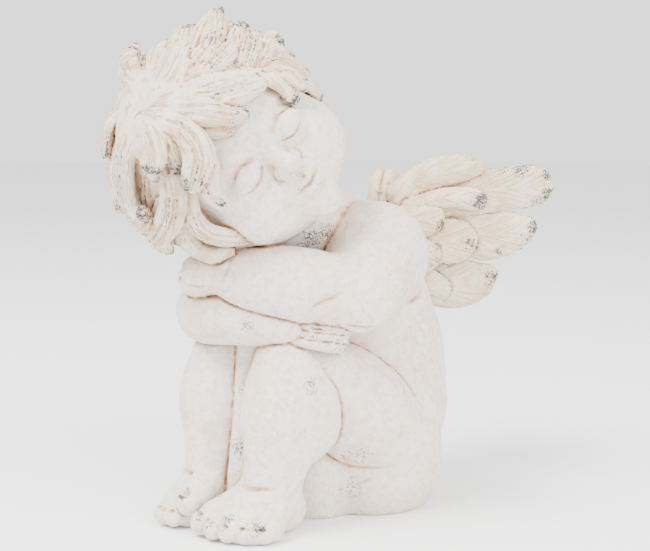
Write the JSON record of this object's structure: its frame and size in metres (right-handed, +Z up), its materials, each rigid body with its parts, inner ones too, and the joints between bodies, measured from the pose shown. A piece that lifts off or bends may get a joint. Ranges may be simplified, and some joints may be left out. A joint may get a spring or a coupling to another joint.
{
  "type": "angel figurine",
  "caption": "Seated winged child figurine, knees drawn up, head asleep on folded arms, whitewashed cast figure with curly hair and spread feathered wings.",
  "frame": {"origin": "middle of the flat underside of the seat, on the ground", "axes": "+Z up, -Y toward the figure's feet (its front), +X toward the figure's left"},
  "size_m": [0.1321, 0.2247, 0.2409],
  "materials": {
    "whitewashed_cast": "chalky whitewashed cast resin and stone powder, peach-brown wash in the creases, grey paint chips on the edges"
  },
  "bodies": {
    "root": {"angel_figurine": "whitewashed_cast"}
  },
  "joints": []
}
